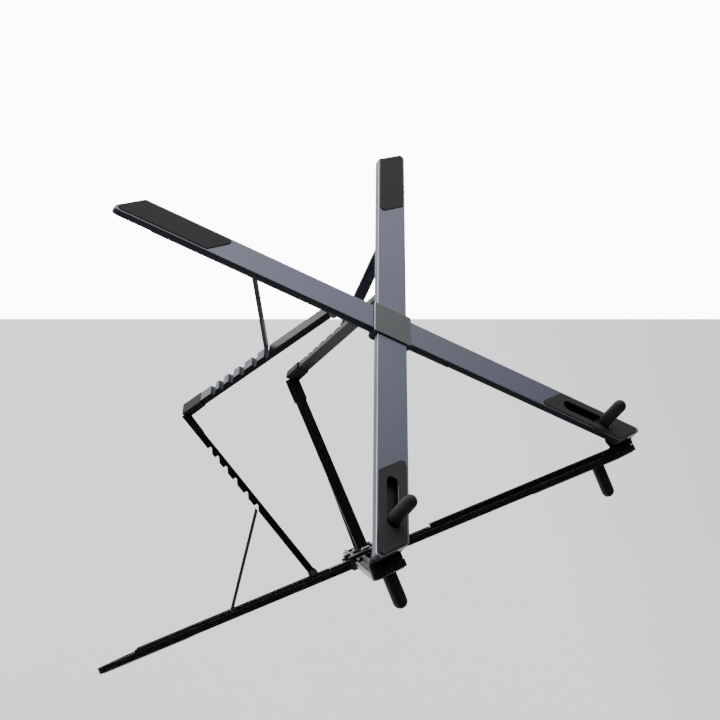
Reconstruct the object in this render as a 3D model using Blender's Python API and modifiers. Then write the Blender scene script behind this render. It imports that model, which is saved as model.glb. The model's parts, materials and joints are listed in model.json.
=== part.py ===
"""Folding laptop stand: four half-arms on a square hub, two notched rear legs with struts, two sliding stops.

Sizes are in millimetres and become metres where a mesh is made. +Z is up, the stand faces -Y and X is its
left-right axis. The tops of the arms lie in one plane, the deck, which slopes down to the front.
A half-arm's own frame has X outward along the arm, Z up out of the deck, and its sides run along Y.
"""

from math import asin, atan, atan2, cos, degrees, hypot, radians, sin, sqrt, tan

import bmesh
import bpy
from mathutils import Vector

MM = 0.001

# Deck and hub
DECK_HEIGHT = 73.0
DECK_Y = -7.1
DECK_TILT = 34.7
CAP_HALF = 12.0
CAP_LOW = 0.2
CAP_HIGH = 1.0
GAP = 0.3

# Arms: lengths run from the crossing to the middle of the slanted end
ARM_WIDTH = 19.0
FRONT_LENGTH = 167.0
REAR_LENGTH = 163.0
INNER_END = 9.8
PIN_INSET = 4.0
CLOSED_HALF_GAP = 0.4
SHEET = 1.2
WALL_DEPTH = 3.9
KNUCKLE_DEPTH = 5.4
KNUCKLE_END = 24.0
RAIL_HALF = 8.0
RAIL_SHEET = 0.5
RAIL_SIDE = 1.2
REAR_RAIL_END = 146.0
FRONT_RAIL_END = 40.0
PAD_HALF = 8.0
REAR_PAD = (107.6, 162.0)
FRONT_PAD = (108.5, 165.8)
RECESS = 0.6
PAD_TOP = 0.4

# Front feet and sliding stops
FOOT_START = 156.4
FOOT_DEPTH = 8.2
HEEL_Y = -116.6
HEEL_ANGLE = 31.0
TRACK_TOP = 3.6
TRACK_SHEET = 0.5
TRACK_DEPTH = 7.0
TRACK_RIB = 5.2
SLOT = (117.5, 151.5)
SLOT_HALF = 3.65
STOP_U = 146.5
STOP_RADIUS = 3.75
STOP_TOP = 19.4

# Legs and struts: U is along the arm, DEPTH is below the deck, A and B are along and across the leg
LEG_U = 34.1
LEG_DEPTH = 6.7
LEG_ANGLE = 73.15
LEG_HALF = 2.1
LEG_WIDTH = 6.8
LEG_SHOULDER = 104.0
SPIGOT_END = 116.0
NOTCHES = (52.2, 61.8, 72.1, 81.0, 88.8, 95.5)
NOTCH_DEPTH = 2.0
NOTCH_FLOOR = 1.2
NOTCH_RAMP = 2.8
BOOT_END = 119.5
BOOT_LOW = 2.9
BOOT_WIDTH = 8.4
STRUT_U = 85.8
STRUT_DEPTH = 3.9
STRUT_TOP = 1.5
STRUT_LOW = -0.3
STRUT_WIDTH = 7.0
STRUT_TIP_A = 50.6
STRUT_TIP_B = 1.95
STRUT_TIP_RISE = 1.2

ARM_HALF = ARM_WIDTH / 2
PIN_V = PIN_INSET - ARM_HALF
PIN_U = (CLOSED_HALF_GAP + PIN_INSET) * sqrt(2) - PIN_V
HALF_ARMS = {"rear_left": (-1, 1), "rear_right": (1, 1), "front_left": (-1, -1), "front_right": (1, -1)}

for old in list(bpy.data.objects):
    bpy.data.objects.remove(old, do_unlink=True)
parts = bpy.data.collections.new("laptop_stand")
cutters = bpy.data.collections.new("cutters")
bpy.context.scene.collection.children.link(parts)
bpy.context.scene.collection.children.link(cutters)


def material(name, color, roughness, metallic):
    made = bpy.data.materials.new(name)
    made.use_nodes = True
    shader = made.node_tree.nodes["Principled BSDF"]
    shader.inputs["Base Color"].default_value = (*color, 1)
    shader.inputs["Roughness"].default_value = roughness
    shader.inputs["Metallic"].default_value = metallic
    return made


anodised = material("anodised_aluminium", (0.21, 0.23, 0.29), 0.38, 0.9)
cap_metal = material("cap_metal", (0.14, 0.155, 0.16), 0.42, 0.8)
dark_metal = material("dark_metal", (0.02, 0.021, 0.026), 0.42, 0.6)
leg_metal = material("leg_metal", (0.09, 0.095, 0.1), 0.4, 0.85)
bright_metal = material("bright_metal", (0.55, 0.56, 0.58), 0.3, 1.0)
rubber = material("rubber", (0.05, 0.05, 0.052), 0.85, 0.0)


def arc(centre, radius, start, end, steps):
    """Points on a circle from one angle to another, in degrees, both ends included."""
    angles = [radians(start + (end - start) * k / steps) for k in range(steps + 1)]
    return [(centre[0] + radius * cos(t), centre[1] + radius * sin(t)) for t in angles]


def circle(radius, steps=24, centre=(0, 0)):
    return arc(centre, radius, 0, 360 - 360 / steps, steps - 1)


def rounded(corners, radius, steps=4):
    """The closed outline through the corners, with a tangent arc in place of each one."""
    outline = []
    for i, point in enumerate(corners):
        corner = Vector(point)
        back = (Vector(corners[i - 1]) - corner).normalized()
        ahead = (Vector(corners[(i + 1) % len(corners)]) - corner).normalized()
        half = back.angle(ahead) / 2
        centre = corner + (back + ahead).normalized() * radius / sin(half)
        first = corner + back * radius / tan(half) - centre
        last = corner + ahead * radius / tan(half) - centre
        for k in range(steps + 1):
            direction = first.slerp(last, k / steps).normalized()
            outline.append(tuple(centre + direction * radius))
    return outline


def slab(name, loops, low, high, bevel=0.0):
    """A flat plate between two heights: the first loop is its outline, the others are its holes."""
    curve = bpy.data.curves.new(name, "CURVE")
    curve.dimensions = "2D"
    curve.fill_mode = "BOTH"
    curve.extrude = ((high - low) / 2 - bevel) * MM
    curve.bevel_depth = bevel * MM
    curve.bevel_resolution = 1
    curve.offset = -bevel * MM
    for loop in loops:
        spline = curve.splines.new("POLY")
        spline.points.add(len(loop) - 1)
        for point, (x, y) in zip(spline.points, loop):
            point.co = (x * MM, y * MM, 0, 1)
        spline.use_cyclic_u = True
    flat = bpy.data.objects.new(name, curve)
    parts.objects.link(flat)
    bpy.context.view_layer.update()
    evaluated = flat.evaluated_get(bpy.context.evaluated_depsgraph_get())
    mesh = bpy.data.meshes.new_from_object(evaluated)
    bpy.data.objects.remove(flat)
    bm = bmesh.new()
    bm.from_mesh(mesh)
    bmesh.ops.remove_doubles(bm, verts=bm.verts, dist=0.005 * MM)
    bmesh.ops.translate(bm, verts=bm.verts, vec=(0, 0, (low + high) / 2 * MM))
    bmesh.ops.recalc_face_normals(bm, faces=bm.faces)
    bm.to_mesh(mesh)
    bm.free()
    made = bpy.data.objects.new(name, mesh)
    parts.objects.link(made)
    return made


def turned(name, profile, steps=24):
    """A solid of revolution about Z, from (radius, height) points that run from top to bottom."""
    mesh = bpy.data.meshes.new(name)
    points = [(radius * MM, 0, height * MM) for radius, height in profile]
    mesh.from_pydata(points, [(k, k + 1) for k in range(len(points) - 1)], [])
    made = bpy.data.objects.new(name, mesh)
    parts.objects.link(made)
    screw = made.modifiers.new("turn", "SCREW")
    screw.steps = steps
    screw.render_steps = steps
    screw.use_merge_vertices = True
    screw.merge_threshold = 0.005 * MM
    return made


def dress(made, look):
    made.data.materials.clear()
    made.data.materials.append(look)
    return made


def hide(tool):
    """Moves a cutter, or a shape that is only joined to another, out of the parts."""
    parts.objects.unlink(tool)
    cutters.objects.link(tool)
    tool.hide_render = True
    tool.display_type = "WIRE"
    return tool


def combine(made, tool, operation="DIFFERENCE"):
    boolean = made.modifiers.new(operation.lower(), "BOOLEAN")
    boolean.operation = operation
    boolean.solver = "EXACT"
    boolean.object = tool


def pivot(name, parent, location, rotation=(0, 0, 0)):
    """An empty on a joint's axis, which carries the pieces that turn or slide with it."""
    empty = bpy.data.objects.new(name, None)
    parts.objects.link(empty)
    empty.parent = parent
    empty.location = Vector(location) * MM
    empty.rotation_euler = [radians(angle) for angle in rotation]
    return empty


def put(made, parent, location=(0, 0, 0), rotation=(0, 0, 0)):
    made.parent = parent
    made.location = Vector(location) * MM
    made.rotation_euler = [radians(angle) for angle in rotation]
    return made


UPRIGHT = (90, 0, 0)

deck = pivot("deck", None, (0, DECK_Y, DECK_HEIGHT), (DECK_TILT, 0, 0))
floor = hide(slab("floor_cutter", [[(-300, -300), (300, -300), (300, 300), (-300, 300)]], -60, 0))
heel = hide(slab("heel_cutter", [[(-150, -20), (150, -20), (150, 20), (-150, 20)]], -20, 0))
put(heel, deck, (0, HEEL_Y, -FOOT_DEPTH), (HEEL_ANGLE, 0, 0))


class HalfArm:
    """One half-arm: its fold axis, its side and its end, and the way its own frame lies under the deck."""

    def __init__(self, name):
        self.name = name
        self.side, self.end = HALF_ARMS[name]
        self.hand = -self.side * self.end
        self.is_rear = self.end > 0
        self.length = REAR_LENGTH if self.is_rear else FRONT_LENGTH
        fold_x = self.side * (PIN_U + PIN_V) / sqrt(2)
        fold_y = self.end * (PIN_U - PIN_V) / sqrt(2)
        azimuth = degrees(atan2(self.end, self.side))
        self.axis = pivot(name + "_fold_axis", deck, (fold_x, fold_y, 0), (0, 0, azimuth))
        self.shift = (-PIN_U, -self.hand * PIN_V, 0)

    def add(self, made, look, u=0, v=0, depth=0, rotation=(0, 0, 0)):
        """Places a piece at a point along, across and below the arm. Pieces face outward, so V > 0 is the outer side."""
        location = (u - PIN_U, self.hand * (v - PIN_V), -depth)
        if look:
            dress(made, look)
        return put(made, self.axis, location, rotation)

    def outline(self, points):
        """Turns (along, outward) points into the arm's own frame."""
        return [(u, self.hand * v) for u, v in points]

    def slanted(self, first, last, half):
        """A strip across the arm between two cuts that run parallel to X. Each cut is where along - outward is constant."""
        return [(first - half, -half), (last - half, -half), (last + half, half), (first + half, half)]


def build_hub():
    """The hub: a base plate with a centre column and two side posts, a cap screwed onto it, and four fold pins."""
    fold_points = [
        (side * (PIN_U + PIN_V) / sqrt(2), end * (PIN_U - PIN_V) / sqrt(2)) for side, end in HALF_ARMS.values()
    ]
    plate_top = KNUCKLE_DEPTH + GAP
    plate_low = plate_top + 1.5
    right_half = [(7.2, -15.2), (7.2, -9.0), (15.4, 0), (7.2, 9.0), (7.2, 15.2)]
    plate_corners = right_half + [(-x, y) for x, y in reversed(right_half)]
    plate_holes = [circle(1.8, 16, point) for point in fold_points]
    base = dress(slab("hub_base", [rounded(plate_corners, 1.2), *plate_holes], -plate_low, -plate_top), dark_metal)
    put(base, deck)

    reach = 13.4
    trim = 9.9
    column_corners = [
        (reach, 0), (reach - trim, trim), (trim - reach, trim), (-reach, 0), (trim - reach, -trim), (reach - trim, -trim)
    ]
    column = hide(slab("hub_column", [column_corners], -plate_top - 1, -0.1))
    combine(base, put(column, deck), "UNION")
    for side in (-1, 1):
        wedge = [(side * 13.9, 0), (side * 15.3, 1.4), (side * 15.3, -1.4)]
        post = hide(slab("hub_post", [wedge], -plate_top - 1, -0.1))
        combine(base, put(post, deck), "UNION")
    pocket = hide(slab("hub_pocket", [circle(5.3)], -3.4, 1))
    combine(base, put(pocket, deck))
    screw_way = hide(slab("hub_screw_way", [circle(1.8, 16)], -plate_low - 1, 1))
    combine(base, put(screw_way, deck))

    corner = CAP_HALF * sqrt(2)
    square = [(corner, 0), (0, corner), (-corner, 0), (0, -corner)]
    cap = dress(slab("hub_cap", [rounded(square, 1.2)], CAP_LOW, CAP_HIGH, 0.35), cap_metal)
    boss = hide(slab("cap_boss", [circle(5.0)], -3.0, CAP_LOW + 0.4))
    combine(put(cap, deck), put(boss, deck), "UNION")
    thread = hide(slab("cap_thread", [circle(1.5, 16)], -4.0, -0.3))
    combine(cap, put(thread, deck))

    head = plate_low + GAP
    screw_profile = [(0, -0.6), (1.2, -0.6), (1.2, -head), (2.7, -head), (2.7, -head - 1.0), (2.1, -head - 1.5)]
    screw = dress(turned("hub_screw", screw_profile + [(0, -head - 1.5)]), bright_metal)
    put(screw, deck)
    pin_profile = [(0, -1.9), (1.5, -1.9), (1.5, -head), (2.4, -head), (2.4, -head - 0.7), (1.8, -head - 1.1)]
    for name, (x, y) in zip(HALF_ARMS, fold_points):
        pin = dress(turned("fold_pin_" + name, pin_profile + [(0, -head - 1.1)]), dark_metal)
        put(pin, deck, (x, y, 0))


def build_beam(arm):
    """The visible half-arm: an aluminium channel, open below, with a recess for its pad and a slot in a front one."""
    rounding = arc((PIN_U, PIN_V), PIN_INSET, -90 - degrees(asin((PIN_U - INNER_END) / PIN_INSET)), -90, 4)
    tip = rounded(arm.slanted(0, arm.length, ARM_HALF), 2.2)
    end_arcs = tip[5:15]
    profile = rounding + end_arcs + [(INNER_END, ARM_HALF)]
    loops = [arm.outline(profile)]
    if not arm.is_rear:
        loops.append(arm.outline(slot_outline(SLOT_HALF)))
    beam = arm.add(slab(arm.name + "_beam", loops, -WALL_DEPTH, 0, 0.3), anodised)

    inside = ARM_HALF - SHEET
    end_wall = arm.length - SHEET * sqrt(2)
    hollow = [(0, -inside), (end_wall - inside, -inside), (end_wall + inside, inside), (0, inside)]
    hollow_cut = hide(slab(arm.name + "_hollow", [arm.outline(rounded(hollow, 1.2))], -WALL_DEPTH - 1, -SHEET))
    combine(beam, arm.add(hollow_cut, None))
    first, last = REAR_PAD if arm.is_rear else FRONT_PAD
    spread = GAP * sqrt(2)
    recess = rounded(arm.slanted(first - spread, last + spread, PAD_HALF + GAP), 2.0)
    recess_cut = hide(slab(arm.name + "_recess", [arm.outline(recess)], -RECESS, 1))
    combine(beam, arm.add(recess_cut, None))


def slot_outline(half, grow=0.0):
    """The slot that a stop slides in: a straight stretch with a half circle at each end."""
    first = SLOT[0] + half
    last = SLOT[1] - half
    return arc((last, 0), half + grow, -90, 90, 10) + arc((first, 0), half + grow, 90, 270, 10)


def build_pad(arm):
    first, last = REAR_PAD if arm.is_rear else FRONT_PAD
    loops = [arm.outline(rounded(arm.slanted(first, last, PAD_HALF), 2.0))]
    if not arm.is_rear:
        loops.append(arm.outline(slot_outline(SLOT_HALF)))
    arm.add(slab(arm.name + "_pad", loops, -RECESS + GAP, PAD_TOP, 0.15), rubber)


def build_knuckle(arm):
    """The cast block in the arm's inner end that the fold pin runs in."""
    half = ARM_HALF - SHEET - GAP
    reach = half + PIN_V
    corners = [(KNUCKLE_END, -half), (KNUCKLE_END, half), (INNER_END + 0.2, half)]
    inner = arc((PIN_U, PIN_V), reach, 180 + degrees(asin(0.5)), 270, 5)
    block = slab(
        arm.name + "_knuckle",
        [arm.outline([*corners, (INNER_END + 0.2, PIN_V), *inner]), arm.outline(circle(1.8, 16, (PIN_U, PIN_V)))],
        -KNUCKLE_DEPTH,
        -SHEET - GAP,
    )
    arm.add(block, dark_metal)


def build_rail(arm):
    """The inner channel under an arm. It hangs a little below the arm's walls."""
    start = KNUCKLE_END + GAP
    end = REAR_RAIL_END if arm.is_rear else FRONT_RAIL_END
    strip = [(start, -RAIL_HALF), (end, -RAIL_HALF), (end, RAIL_HALF), (start, RAIL_HALF)]
    top = SHEET + GAP
    rail = arm.add(slab(arm.name + "_rail", [arm.outline(strip)], -KNUCKLE_DEPTH, -top), dark_metal)
    inside = RAIL_HALF - RAIL_SIDE
    hollow = [(start - 5, -inside), (end + 5, -inside), (end + 5, inside), (start - 5, inside)]
    hollow_cut = hide(slab(arm.name + "_rail_hollow", [hollow], -KNUCKLE_DEPTH - 1, -top - RAIL_SHEET))
    combine(rail, arm.add(hollow_cut, None))
    if arm.is_rear:
        pin_way = hide(slab(arm.name + "_pin_way", [circle(1.25, 16)], -ARM_HALF, ARM_HALF))
        combine(rail, arm.add(pin_way, None, STRUT_U, 0, STRUT_DEPTH, UPRIGHT))


def build_foot(arm):
    """The rubber foot: a wedge under the tip with a plug that fills the channel's end. The floor trims its edge."""
    half = ARM_HALF - 0.5
    tread = rounded(arm.slanted(FOOT_START, arm.length - 0.2, half), 1.8)
    foot = arm.add(slab(arm.name + "_foot", [arm.outline(tread)], -FOOT_DEPTH, -WALL_DEPTH - GAP), rubber)
    plug_half = ARM_HALF - SHEET - GAP
    plug_end = arm.length - (SHEET + GAP) * sqrt(2)
    plug = [arm.outline(rounded(arm.slanted(FOOT_START + 1.0, plug_end, plug_half), 1.2))]
    plug_shape = hide(slab(arm.name + "_foot_plug", plug, -WALL_DEPTH - 1, -SHEET - GAP))
    combine(foot, arm.add(plug_shape, None), "UNION")
    combine(foot, heel)
    combine(foot, floor)


def build_track(arm):
    """The dark cover that closes a front arm from below. A hollow rib hangs from its middle."""
    start = FRONT_RAIL_END + GAP
    end = FOOT_START - GAP * sqrt(2)
    low = TRACK_TOP + TRACK_SHEET

    def strip(inset, half):
        first = start + inset
        last = end - inset * sqrt(2)
        return arm.outline([(first, -half), (last - half, -half), (last + half, half), (first, half)])

    track = arm.add(slab(arm.name + "_track", [strip(0, ARM_HALF - SHEET - GAP)], -low, -TRACK_TOP), dark_metal)
    rib = hide(slab(arm.name + "_rib", [strip(0, TRACK_RIB)], -TRACK_DEPTH, -low + 0.1))
    combine(track, arm.add(rib, None), "UNION")
    rib_hollow = hide(slab(arm.name + "_rib_hollow", [strip(1.2, TRACK_RIB - 1.2)], -TRACK_DEPTH - 1, -low - 0.4))
    combine(track, arm.add(rib_hollow, None))


def build_stop(arm):
    """A sliding stop: a headed post through a slide nut and a bush in the slot, with a rubber sleeve on top."""
    slide = pivot(arm.name + "_slide_axis", arm.axis, (STOP_U - PIN_U, -arm.hand * PIN_V, 0))
    side = arm.name.split("_")[1]
    nut_low = SHEET + GAP + 0.8
    head = nut_low + GAP
    core = 2.4
    bore = core + GAP
    post_profile = [(0, STOP_TOP - 3.9), (core, STOP_TOP - 3.9), (core, -head), (4.0, -head), (4.0, -head - 0.7)]
    put(dress(turned("stop_post_" + side, post_profile + [(0, -head - 0.7)]), bright_metal), slide)
    put(dress(slab("stop_nut_" + side, [circle(4.6), circle(bore)], -nut_low, -SHEET - GAP), dark_metal), slide)
    put(dress(slab("stop_bush_" + side, [circle(3.35), circle(bore)], -SHEET + 0.1, PAD_TOP), bright_metal), slide)
    dome = [(STOP_RADIUS * sin(radians(t)), STOP_TOP - STOP_RADIUS * (1 - cos(radians(t)))) for t in range(0, 91, 15)]
    sleeve_low = PAD_TOP + GAP
    hollow_top = STOP_TOP - 3.6
    skirt = [(STOP_RADIUS, sleeve_low), (bore, sleeve_low), (bore, hollow_top), (0, hollow_top)]
    put(dress(turned("stop_sleeve_" + side, dome + skirt), rubber), slide)


def rivet(name, half_length, radius, head_radius, head):
    """A pin across the arm with a flat head at each end, where head is their thickness."""
    profile = [(0, half_length + head), (head_radius, half_length + head), (head_radius, half_length)]
    profile += [(radius, half_length), (radius, -half_length), (head_radius, -half_length)]
    profile += [(head_radius, -half_length - head), (0, -half_length - head)]
    return turned(name, profile, 16)


def build_bracket(arm, side):
    """The clevis riveted under the rail that carries the leg's hinge pin."""
    top = SHEET + GAP + RAIL_SHEET + GAP
    lug = 2.8
    lug_outline = [(lug, LEG_DEPTH - top), (-lug, LEG_DEPTH - top), *arc((0, 0), lug, 180, 360, 10)]
    bracket = slab("leg_bracket_" + side, [lug_outline, circle(1.5, 16)], -5.0, 5.0)
    arm.add(bracket, dark_metal, LEG_U, 0, LEG_DEPTH, UPRIGHT)
    room = LEG_WIDTH / 2 + GAP
    gap_outline = [(-5, -room), (5, -room), (5, room), (-5, room)]
    leg_gap = hide(slab("leg_gap_" + side, [gap_outline], -5, LEG_DEPTH - top - 1.2))
    combine(bracket, arm.add(leg_gap, None, LEG_U, 0, LEG_DEPTH))
    pin = rivet("leg_pin_" + side, 5.3, 1.2, 2.2, 0.9)
    arm.add(pin, bright_metal, LEG_U, 0, LEG_DEPTH, UPRIGHT)


def build_leg(arm, side):
    """The notched leg bar on its hinge, and the rubber boot on the spigot at its foot."""
    hinge = pivot("leg_hinge_axis_" + side, arm.axis, (LEG_U - PIN_U, -arm.hand * PIN_V, -LEG_DEPTH), (0, LEG_ANGLE, 0))
    floor_of_notch = LEG_HALF - NOTCH_DEPTH
    top_line = [(LEG_SHOULDER, LEG_HALF)]
    for flank in reversed(NOTCHES):
        start = flank - 0.3 - NOTCH_FLOOR - NOTCH_RAMP
        top_line += [(flank, LEG_HALF), (flank - 0.3, floor_of_notch)]
        top_line += [(flank - 0.3 - NOTCH_FLOOR, floor_of_notch), (start, LEG_HALF)]
    spigot = 1.2
    foot_end = [(LEG_SHOULDER, -LEG_HALF), (LEG_SHOULDER, -spigot), (SPIGOT_END, -spigot)]
    foot_end += [(SPIGOT_END, spigot), (LEG_SHOULDER, spigot)]
    bar_outline = arc((0, 0), LEG_HALF, 90, 270, 8) + foot_end + top_line
    bar = slab("leg_" + side, [bar_outline, circle(1.5, 16)], -LEG_WIDTH / 2, LEG_WIDTH / 2)
    put(dress(bar, leg_metal), hinge, rotation=UPRIGHT)

    start = LEG_SHOULDER + GAP
    boot_outline = [(start, LEG_HALF), (start, -LEG_HALF - 0.3), (BOOT_END, -BOOT_LOW), (BOOT_END, LEG_HALF)]
    boot = slab("boot_" + side, [boot_outline], -BOOT_WIDTH / 2, BOOT_WIDTH / 2, 0.25)
    put(dress(boot, rubber), hinge, rotation=UPRIGHT)
    grip = spigot + GAP
    socket_outline = [(start - 2, -grip), (SPIGOT_END + GAP, -grip), (SPIGOT_END + GAP, grip), (start - 2, grip)]
    room = LEG_WIDTH / 2 + GAP
    socket = hide(slab("boot_socket_" + side, [socket_outline], -room, room))
    combine(boot, put(socket, hinge, rotation=UPRIGHT))
    combine(boot, floor)


def strut_reach():
    """The strut's length along its own axis to the tip, and the angle it hangs at, from where its tip meets the leg."""
    angle = radians(LEG_ANGLE)
    tip_u = LEG_U + STRUT_TIP_A * cos(angle) + STRUT_TIP_B * sin(angle)
    tip_depth = LEG_DEPTH + STRUT_TIP_A * sin(angle) - STRUT_TIP_B * cos(angle)
    distance = hypot(tip_u - STRUT_U, tip_depth - STRUT_DEPTH)
    reach = sqrt(distance**2 - STRUT_TIP_RISE**2)
    hang = atan2(tip_depth - STRUT_DEPTH, tip_u - STRUT_U) + atan(STRUT_TIP_RISE / reach)
    return reach, degrees(hang)


def build_strut(arm, side):
    """The flat strut on its pin in the rail. Its pointed tip stands in the first notch of the leg."""
    reach, hang = strut_reach()
    hinge = pivot(
        "strut_hinge_axis_" + side, arm.axis, (STRUT_U - PIN_U, -arm.hand * PIN_V, -STRUT_DEPTH), (0, hang, 0)
    )
    eye = 1.6
    eye_start = degrees(asin(STRUT_TOP / eye))
    eye_end = 360 + degrees(asin(STRUT_LOW / eye))
    tip = [(reach - 1.6, STRUT_LOW), (reach - 0.35, STRUT_TIP_RISE - 0.3)]
    tip += [(reach, STRUT_TIP_RISE), (reach - 0.35, STRUT_TOP)]
    outline = arc((0, 0), eye, eye_start, eye_end, 14) + tip
    strap = slab("strut_" + side, [outline, circle(1.25, 16)], -STRUT_WIDTH / 2, STRUT_WIDTH / 2)
    put(dress(strap, dark_metal), hinge, rotation=UPRIGHT)

    pin_half = RAIL_HALF - 0.1
    pin_profile = [(0, pin_half), (0.95, pin_half), (0.95, -pin_half), (0, -pin_half)]
    arm.add(turned("strut_pin_" + side, pin_profile, 16), bright_metal, STRUT_U, 0, STRUT_DEPTH, UPRIGHT)
    first = STRUT_WIDTH / 2 + GAP
    last = RAIL_HALF - RAIL_SIDE - GAP
    for place, low, high in (("inner", -last, -first), ("outer", first, last)):
        spacer = slab(f"strut_spacer_{side}_{place}", [circle(eye, 16), circle(1.25, 16)], -high, -low)
        arm.add(spacer, bright_metal, STRUT_U, 0, STRUT_DEPTH, (90, 0, 0) if arm.hand > 0 else (-90, 0, 0))


build_hub()
for arm_name in HALF_ARMS:
    half_arm = HalfArm(arm_name)
    build_beam(half_arm)
    build_pad(half_arm)
    build_knuckle(half_arm)
    build_rail(half_arm)
    if half_arm.is_rear:
        rear_side = arm_name.split("_")[1]
        build_bracket(half_arm, rear_side)
        build_leg(half_arm, rear_side)
        build_strut(half_arm, rear_side)
    else:
        build_foot(half_arm)
        build_track(half_arm)
        build_stop(half_arm)
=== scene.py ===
import json
from math import cos, radians, sin

import bpy
from mathutils import Matrix, Vector


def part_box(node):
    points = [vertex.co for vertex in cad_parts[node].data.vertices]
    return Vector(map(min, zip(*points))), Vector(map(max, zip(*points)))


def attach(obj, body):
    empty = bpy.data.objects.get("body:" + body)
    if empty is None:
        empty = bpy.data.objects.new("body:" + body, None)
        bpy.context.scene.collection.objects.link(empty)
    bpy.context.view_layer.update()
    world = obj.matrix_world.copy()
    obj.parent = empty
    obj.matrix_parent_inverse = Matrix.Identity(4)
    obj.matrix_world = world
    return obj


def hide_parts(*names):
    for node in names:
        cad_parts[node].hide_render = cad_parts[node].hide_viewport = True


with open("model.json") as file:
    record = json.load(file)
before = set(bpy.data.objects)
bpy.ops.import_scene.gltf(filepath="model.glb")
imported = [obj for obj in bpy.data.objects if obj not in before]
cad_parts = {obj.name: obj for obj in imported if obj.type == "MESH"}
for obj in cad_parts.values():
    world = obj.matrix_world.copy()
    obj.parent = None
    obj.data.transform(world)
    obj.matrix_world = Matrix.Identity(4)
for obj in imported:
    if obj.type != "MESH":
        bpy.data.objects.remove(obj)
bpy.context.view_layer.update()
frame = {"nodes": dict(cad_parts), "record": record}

nodes = frame["nodes"]
record = frame["record"]
body_of_node = {node: body for body, names in record["behaviour"]["bodies"].items() for node in names}
joints = {joint["name"]: joint for joint in record["behaviour"]["joints"]}
bpy.ops.object.select_all(action="DESELECT")

# ---------------------------------------------------------------- camera, light and table
# A long lens looks down at the stand from its front left, close to its height on a glossy pale table top.
# The table ends behind the stand, and the white room behind it lights the work from the back and from above.
camera_yaw = radians(53.358)
camera_pitch = radians(-18.421)
camera_roll = radians(4.862)
camera_place = Vector((-0.69043, -0.50034, 0.33317))
forward = Vector((sin(camera_yaw) * cos(camera_pitch), cos(camera_yaw) * cos(camera_pitch), sin(camera_pitch)))
level_right = forward.cross(Vector((0, 0, 1))).normalized()
level_up = level_right.cross(forward)
right = level_right * cos(camera_roll) + level_up * sin(camera_roll)
up = level_up * cos(camera_roll) - level_right * sin(camera_roll)
bpy.ops.object.camera_add()
camera = bpy.context.object
camera.name = "camera"
camera.data.sensor_width = 36
camera.data.lens = 79.29
camera.data.clip_start = 0.01
camera.matrix_world = Matrix.LocRotScale(
    camera_place, Matrix((right, up, -forward)).transposed().to_quaternion(), None
)
bpy.context.scene.camera = camera


class Signal:
    """One socket of a material's pattern, on which sums can be written."""

    def __init__(self, finish, socket):
        self.finish = finish
        self.socket = socket

    def _sum(self, operation, first, second, clamp=False):
        settings = {"operation": operation, "use_clamp": clamp}
        return self.finish.node("ShaderNodeMath", settings, {0: first, 1: second}, "Value")

    def __add__(self, other):
        return self._sum("ADD", self, other)

    def __sub__(self, other):
        return self._sum("SUBTRACT", self, other)

    def __mul__(self, other):
        return self._sum("MULTIPLY", self, other)

    __radd__ = __add__
    __rmul__ = __mul__

    def clamped(self):
        return self._sum("ADD", self, 0.0, clamp=True)


class Finish:
    """A material in the making: one shader, constants on its own sockets, and patterns that feed it."""

    def __init__(self, name, **constants):
        self.material = bpy.data.materials.new(name)
        self.material.use_nodes = True
        self.tree = self.material.node_tree
        self.shader = self.tree.nodes["Principled BSDF"]
        for socket, value in constants.items():
            self.shader.inputs[socket.replace("_", " ")].default_value = value

    def node(self, kind, settings, sockets, output):
        made = self.tree.nodes.new(kind)
        for name, value in settings.items():
            setattr(made, name, value)
        for socket, value in sockets.items():
            if isinstance(value, Signal):
                self.tree.links.new(value.socket, made.inputs[socket])
            else:
                made.inputs[socket].default_value = value
        return Signal(self, made.outputs[output])

    def feed(self, socket, signal):
        self.tree.links.new(signal.socket, self.shader.inputs[socket])

    def place(self, along=None):
        """The point on the piece, in metres. With a direction, X of it runs along that direction."""
        point = self.node("ShaderNodeTexCoord", {}, {}, "Object")
        if along is None:
            return point
        along = Vector(along).normalized()
        side = along.cross(Vector((0, 0, 1))).normalized()
        axes = (along, side, side.cross(along))
        lengths = {
            k: self.node("ShaderNodeVectorMath", {"operation": "DOT_PRODUCT"}, {0: point, 1: axis}, "Value")
            for k, axis in enumerate(axes)
        }
        return self.node("ShaderNodeCombineXYZ", {}, lengths, "Vector")

    def noise(self, place, scale, detail=3.0, roughness=0.5, stretch=(1, 1, 1)):
        """Cloudy noise between 0 and 1 whose grain is about 1 / scale metres, drawn out by the stretch."""
        settings = {"operation": "MULTIPLY"}
        stretched = self.node("ShaderNodeVectorMath", settings, {0: place, 1: stretch}, "Vector")
        sockets = {"Vector": stretched, "Scale": scale, "Detail": detail, "Roughness": roughness}
        return self.node("ShaderNodeTexNoise", {}, sockets, "Fac")

    def blend_colors(self, factor, first, second):
        settings = {"data_type": "RGBA", "clamp_factor": True}
        return self.node("ShaderNodeMix", settings, {0: factor, 6: first, 7: second}, 2)

    def bumps(self, height, distance, strength=1.0):
        sockets = {"Height": height, "Distance": distance, "Strength": strength}
        self.feed("Normal", self.node("ShaderNodeBump", {}, sockets, "Normal"))


table_grey = (0.70, 0.705, 0.71, 1)
table_finish = Finish("table_top", Metallic=1.0)
smear = table_finish.noise(table_finish.place(), 6.0, 4.0)
table_finish.feed("Base Color", table_finish.blend_colors(smear, table_grey, (0.66, 0.665, 0.67, 1)))
table_finish.feed("Roughness", smear * 0.02 + 0.004)

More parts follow.
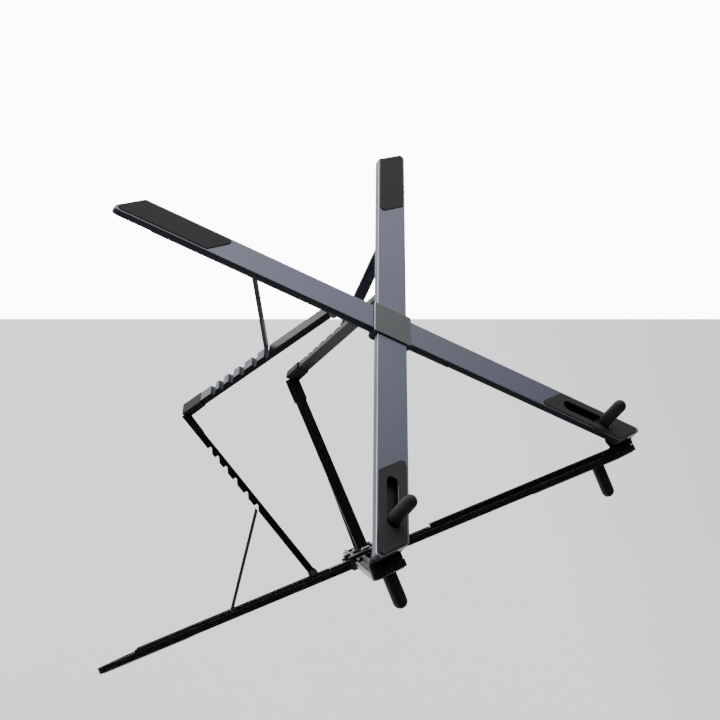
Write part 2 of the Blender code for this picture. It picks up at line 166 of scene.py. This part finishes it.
edge_angle = radians(-37.08)
back_edge = 0.2349
table_depth = 2.4
table_width = 5.0
behind = Vector((-sin(edge_angle), cos(edge_angle), 0))
table_middle = behind * (back_edge - table_depth / 2)
bpy.ops.mesh.primitive_plane_add(size=1, location=table_middle, rotation=(0, 0, edge_angle))
table = bpy.context.object
table.name = "table_top"
table.scale = (table_width, table_depth, 1)
bpy.ops.object.transform_apply(location=True, rotation=True, scale=True)
table.data.materials.append(table_finish.material)

world = bpy.data.worlds.new("room")
bpy.context.scene.world = world
world.use_nodes = True
room = world.node_tree
room.nodes.clear()
room_out = room.nodes.new("ShaderNodeOutputWorld")
seen = room.nodes.new("ShaderNodeBackground")
seen.inputs["Color"].default_value = (0.97, 0.97, 0.97, 1)
seen.inputs["Strength"].default_value = 12.0
lit = room.nodes.new("ShaderNodeBackground")
direction = room.nodes.new("ShaderNodeTexCoord")
toward_back = room.nodes.new("ShaderNodeVectorMath")
toward_back.operation = "DOT_PRODUCT"
toward_back.inputs[1].default_value = Vector((0.2, 0.75, 0.63)).normalized()
room.links.new(direction.outputs["Generated"], toward_back.inputs[0])
brightness = room.nodes.new("ShaderNodeMapRange")
brightness.inputs["From Min"].default_value = 0.3
brightness.inputs["From Max"].default_value = 0.75
brightness.inputs["To Min"].default_value = 0.04
brightness.inputs["To Max"].default_value = 2.5
room.links.new(toward_back.outputs["Value"], brightness.inputs["Value"])
room.links.new(brightness.outputs["Result"], lit.inputs["Strength"])
by_ray = room.nodes.new("ShaderNodeLightPath")
choose = room.nodes.new("ShaderNodeMixShader")
room.links.new(by_ray.outputs["Is Camera Ray"], choose.inputs["Fac"])
room.links.new(lit.outputs["Background"], choose.inputs[1])
room.links.new(seen.outputs["Background"], choose.inputs[2])
room.links.new(choose.outputs["Shader"], room_out.inputs["Surface"])

bpy.ops.object.light_add(type="AREA", location=(0.2, 0.45, 1.2))
softbox = bpy.context.object
softbox.name = "overhead_softbox"
softbox.data.size = 0.8
softbox.data.energy = 2.0
softbox.rotation_euler = (Vector((0, 0, 0.07)) - softbox.location).to_track_quat("-Z", "Y").to_euler()

# ---------------------------------------------------------------- hub
# A steel base plate with a centre column and two corner posts carries everything. The four fold pins are
# headed over below it, and one screw from below holds the cap. All but the cap and the screw is black coated.


def rounded_copy(name, width, segments=2):
    """The solid of that name, welded, with its edges rounded and its curved faces smooth, in the solid's place."""
    sharp_edge = radians(30)
    smooth_edge = radians(35)
    plain = nodes[name]
    piece = bpy.data.objects.new(name + "_finished", plain.data.copy())
    bpy.context.scene.collection.objects.link(piece)
    bpy.ops.object.select_all(action="DESELECT")
    bpy.context.view_layer.objects.active = piece
    piece.select_set(True)
    bpy.ops.object.mode_set(mode="EDIT")
    bpy.ops.mesh.select_all(action="SELECT")
    bpy.ops.mesh.remove_doubles(threshold=0.000002)
    bpy.ops.mesh.dissolve_limited(angle_limit=radians(0.5))
    bpy.ops.object.mode_set(mode="OBJECT")
    bevel = piece.modifiers.new("edges", "BEVEL")
    bevel.width = width
    bevel.segments = segments
    bevel.limit_method = "ANGLE"
    bevel.angle_limit = sharp_edge
    bevel.harden_normals = False
    bpy.ops.object.modifier_apply(modifier="edges")
    bpy.ops.object.shade_smooth_by_angle(angle=smooth_edge)
    flat_faces = piece.modifiers.new("flat_faces", "WEIGHTED_NORMAL")
    flat_faces.weight = 100
    flat_faces.keep_sharp = True
    bpy.ops.object.modifier_apply(modifier="flat_faces")
    piece.data.materials.clear()
    take_place(piece, name)
    return piece


def take_place(piece, name):
    """Rides the piece on the solid's body, in the solid's place, and hides the solid."""
    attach(piece, body_of_node[name])
    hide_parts(name)


def coat(name, finish):
    """Gives a solid that is shown as it is its finish."""
    nodes[name].data.materials.clear()
    nodes[name].data.materials.append(finish.material)


def steel(name, tone, along=(1, 0, 0), polish=0.26):
    """Bare steel or aluminium with fine turning or rolling lines."""
    finish = Finish(name, Metallic=1.0)
    place = finish.place(along)
    lines = finish.noise(place, 900, 4, 0.6, (0.05, 1, 1))
    cloud = finish.noise(place, 90, 3)
    dull = tuple(channel * 0.8 for channel in tone)
    finish.feed("Base Color", finish.blend_colors(cloud, (*dull, 1), (*tone, 1)))
    finish.feed("Roughness", lines * 0.16 + cloud * 0.08 + (polish - 0.1))
    finish.bumps(lines, 0.00002, 0.5)
    return finish


def black_coating(name, tone, gloss=0.42):
    """Thin black powder coat: a fine orange-peel skin, a little rubbed to grey in places."""
    finish = Finish(name, Metallic=0.35, Specular_IOR_Level=0.45)
    place = finish.place()
    peel = finish.noise(place, 1400, 2)
    rub = finish.noise(place, 160, 5, 0.65)
    worn = ((rub - 0.56) * 6).clamped()
    lighter = tuple(channel * 2.1 + 0.004 for channel in tone)
    finish.feed("Base Color", finish.blend_colors(worn, (*tone, 1), (*lighter, 1)))
    finish.feed("Roughness", rub * 0.14 + peel * 0.08 + (gloss - 0.1))
    finish.bumps(peel, 0.00004, 0.35)
    return finish


hub_coat = black_coating("hub_coating", (0.017, 0.018, 0.022))
pin_steel = steel("pin_steel", (0.5, 0.51, 0.53), (0, -0.5693, 0.8221))
rounded_copy("hub_base", 0.00015).data.materials.append(hub_coat.material)
coat("hub_screw", pin_steel)
arm_names = ("rear_left", "rear_right", "front_left", "front_right")
for arm in arm_names:
    coat("fold_pin_" + arm, hub_coat)

# The cap is a thick satin aluminium plate with rounded corners, anodised grey. The slanted faces round its top
# edge get a bright finish all round: a painted highlight.
deck_up = Vector(joints["rear_right_fold"]["axis"])


def arm_direction(arm):
    """The way an arm runs from the hub, in the plane of the deck."""
    sideways = 1 if "right" in arm else -1
    endways = 1 if "rear" in arm else -1
    uphill = Vector((1, 0, 0)).cross(deck_up) * -1
    return (Vector((sideways, 0, 0)) + uphill * endways).normalized()


def paint_rim_highlight(piece, finish, low=0.15, high=0.93):
    """Gives the slanted faces round the top edge of a piece the second finish, a bright painted highlight."""
    piece.data.materials.append(finish.material)
    for face in piece.data.polygons:
        facing = face.normal.dot(deck_up)
        if low < facing < high:
            face.material_index = 1


def anodised(name, tone, along, grain=1.0, rough=0.36):
    """Anodised aluminium: drawn lines along the piece under a fine blasted grain, and faint handling clouds."""
    finish = Finish(name, Metallic=0.88, Specular_IOR_Level=0.5)
    place = finish.place(along)
    lines = finish.noise(place, 1300, 4, 0.6, (0.02, 1, 1))
    blasted = finish.noise(place, 2600, 2, 0.6)
    cloud = finish.noise(place, 22, 4, 0.55, (0.5, 1, 1))
    deep = tuple(channel * 0.88 for channel in tone)
    pale = tuple(min(1, channel * 1.1) for channel in tone)
    mottle = (cloud * 0.7 + lines * 0.2 + blasted * 0.1).clamped()
    finish.feed("Base Color", finish.blend_colors(mottle, (*deep, 1), (*pale, 1)))
    finish.feed("Roughness", cloud * 0.1 + lines * 0.06 + blasted * 0.06 + (rough - 0.1))
    finish.bumps(lines * 0.6 * grain + blasted * 0.4 * grain, 0.00002, 0.35)
    return finish


# A bright steel finish for slanted edge faces: a painted highlight for bevels catching the light.
rim_highlight_metal = steel("painted_highlight_rim", (0.52, 0.53, 0.6), (1, 0, 0), 0.26)
cap_finish = anodised("cap_anodising", (0.145, 0.16, 0.165), arm_direction("rear_left"), 1.3, 0.4)
cap = rounded_copy("hub_cap", 0.00006)
cap.data.materials.append(cap_finish.material)
paint_rim_highlight(cap, rim_highlight_metal)

# ---------------------------------------------------------------- half-arms
# Four channels drawn and milled from aluminium sheet, anodised blue-grey. Their walls, undersides and insides get
# a darker finish, painted shade, and the slanted faces round their top edges and pad recesses a bright one,
# painted highlight.
wall_shade_finish = anodised("arm_wall_painted_shade", (0.08, 0.085, 0.105), (1, 0, 0), 0.8, 0.3)
for arm in arm_names:
    beam = rounded_copy(arm + "_beam", 0.00005, 1)
    top_finish = anodised(arm + "_anodising", (0.2, 0.213, 0.285), arm_direction(arm))
    beam.data.materials.append(top_finish.material)
    paint_rim_highlight(beam, rim_highlight_metal)
    beam.data.materials.append(wall_shade_finish.material)
    # Faces that do not look up (walls, underside, inside) get the darker finish: painted shade.
    for face in beam.data.polygons:
        if face.normal.dot(deck_up) <= 0.15:
            face.material_index = 2

# Inside each arm: a cast knuckle at the hub end, and a folded sheet rail pressed into the channel.
# Both are black coated, and the rail's edges show just below the arm's walls.
rail_coat = black_coating("rail_coating", (0.03, 0.031, 0.036), 0.38)
for arm in arm_names:
    rounded_copy(arm + "_knuckle", 0.0002).data.materials.append(hub_coat.material)
    rounded_copy(arm + "_rail", 0.00008, 1).data.materials.append(rail_coat.material)

# ---------------------------------------------------------------- pads and front feet
# The pads are charcoal silicone sheet, die-cut and glued into the recesses, with a fine matte stipple.
# The feet under the two front tips are moulded from black rubber.


def soft_rubber(name, tone, pale, rough=0.8, grit=1.0):
    """Matte rubber: a fine moulded stipple and faint dust in it."""
    finish = Finish(name, Specular_IOR_Level=0.35)
    place = finish.place()
    stipple = finish.noise(place, 1900, 2, 0.55)
    dust = finish.noise(place, 75, 5, 0.62)
    spread = (dust * 0.75 + stipple * 0.25).clamped()
    finish.feed("Base Color", finish.blend_colors(spread, (*tone, 1), (*pale, 1)))
    finish.feed("Roughness", dust * 0.12 + stipple * 0.1 + (rough - 0.11))
    finish.bumps(stipple, 0.00006 * grit, 0.5)
    return finish


pad_rubber = soft_rubber("pad_silicone", (0.038, 0.038, 0.039), (0.06, 0.06, 0.061))
black_rubber = soft_rubber("foot_rubber", (0.009, 0.009, 0.011), (0.02, 0.02, 0.023), 0.6)
for arm in arm_names:
    rounded_copy(arm + "_pad", 0.00008).data.materials.append(pad_rubber.material)
for arm in ("front_left", "front_right"):
    rounded_copy(arm + "_foot", 0.0002).data.materials.append(black_rubber.material)
    coat(arm + "_track", hub_coat)

# ---------------------------------------------------------------- legs
# Each leg is a solid aluminium bar with milled notches along its top. Its sides and underside get a near-black
# finish, painted shade, and its upper faces and notches paler ones, painted light. It hangs on a riveted pin in a
# black clevis.
plain_top_end = 0.05
notches_start = 0.03
# Near-black for the leg's sides and underside: painted shade. The paler upper finishes below are painted light.
leg_side_shade_finish = black_coating("leg_side_painted_shade", (0.009, 0.009, 0.012), 0.4)
for side in ("left", "right"):
    leg_axis = Vector(joints["leg_fold_" + side]["pos_m"])
    low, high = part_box("boot_" + side)
    foot_point = Vector(((low.x + high.x) / 2, (low.y + high.y) / 2, low.z))
    leg_along = (foot_point - leg_axis).normalized()
    leg_across = Vector(joints["leg_fold_" + side]["axis"])
    leg_up = leg_across.cross(leg_along)
    if leg_up.z < 0:
        leg_up = -leg_up
    leg = rounded_copy("leg_" + side, 0.00025)
    leg_top_painted_light = anodised("leg_top_painted_light_" + side, (0.1, 0.106, 0.112), leg_along, 1.5, 0.42)
    notch_painted_light = steel("notch_painted_light_" + side, (0.13, 0.137, 0.16), leg_across, 0.34)
    leg.data.materials.append(leg_side_shade_finish.material)
    leg.data.materials.append(leg_top_painted_light.material)
    leg.data.materials.append(notch_painted_light.material)
    # Upper faces get the paler finishes (painted light); sides and underside keep the near-black one (painted
    # shade).
    for face in leg.data.polygons:
        facing = face.normal.dot(leg_up)
        depth = (face.center - leg_axis).dot(leg_up)
        reach = (face.center - leg_axis).dot(leg_along)
        if facing > 0.9 and reach < plain_top_end:
            face.material_index = 1
        elif depth > -0.0001 and abs(face.normal.dot(leg_across)) < 0.5 and reach > notches_start:
            face.material_index = 2
    rounded_copy("leg_bracket_" + side, 0.0002).data.materials.append(hub_coat.material)
    coat("leg_pin_" + side, pin_steel)

# Each leg stands in a moulded black rubber boot that is pushed over the end of the bar.
for side in ("left", "right"):
    rounded_copy("boot_" + side, 0.00045, 3).data.materials.append(black_rubber.material)

# ---------------------------------------------------------------- struts
# Flat steel straps, coated a dark blue-grey; the slanted edge faces that look upward get a bright finish, a
# painted highlight.
# Each swings on a pin across the rail, kept in the middle by two spacer tubes, and its filed tip stands in a notch
# of the leg.
strut_coat = black_coating("strut_coating", (0.1, 0.1, 0.155), 0.4)
spacer_steel = steel("spacer_steel", (0.42, 0.43, 0.45), (1, 0, 0))
for side in ("left", "right"):
    strut = rounded_copy("strut_" + side, 0.00012, 1)
    strut.data.materials.append(strut_coat.material)
    strut.data.materials.append(rim_highlight_metal.material)
    strut_across = Vector(joints["strut_fold_" + side]["axis"])
    # Upward-looking slanted edge faces get the bright finish: a painted highlight.
    for face in strut.data.polygons:
        if 0.3 < abs(face.normal.dot(strut_across)) < 0.93 and face.normal.z > 0:
            face.material_index = 1
    coat("strut_pin_" + side, pin_steel)
    for place in ("inner", "outer"):
        coat(f"strut_spacer_{side}_{place}", spacer_steel)

# ---------------------------------------------------------------- sliding stops
# A headed steel post runs in a bright bush in the slot and is held by a slide nut under the arm. A rubber
# sleeve with a round top is pushed over it.
sleeve_rubber = soft_rubber("sleeve_rubber", (0.018, 0.018, 0.021), (0.034, 0.034, 0.038), 0.62)
for side in ("left", "right"):
    coat("stop_post_" + side, pin_steel)
    coat("stop_nut_" + side, hub_coat)
    coat("stop_bush_" + side, spacer_steel)
    rounded_copy("stop_sleeve_" + side, 0.0003).data.materials.append(sleeve_rubber.material)
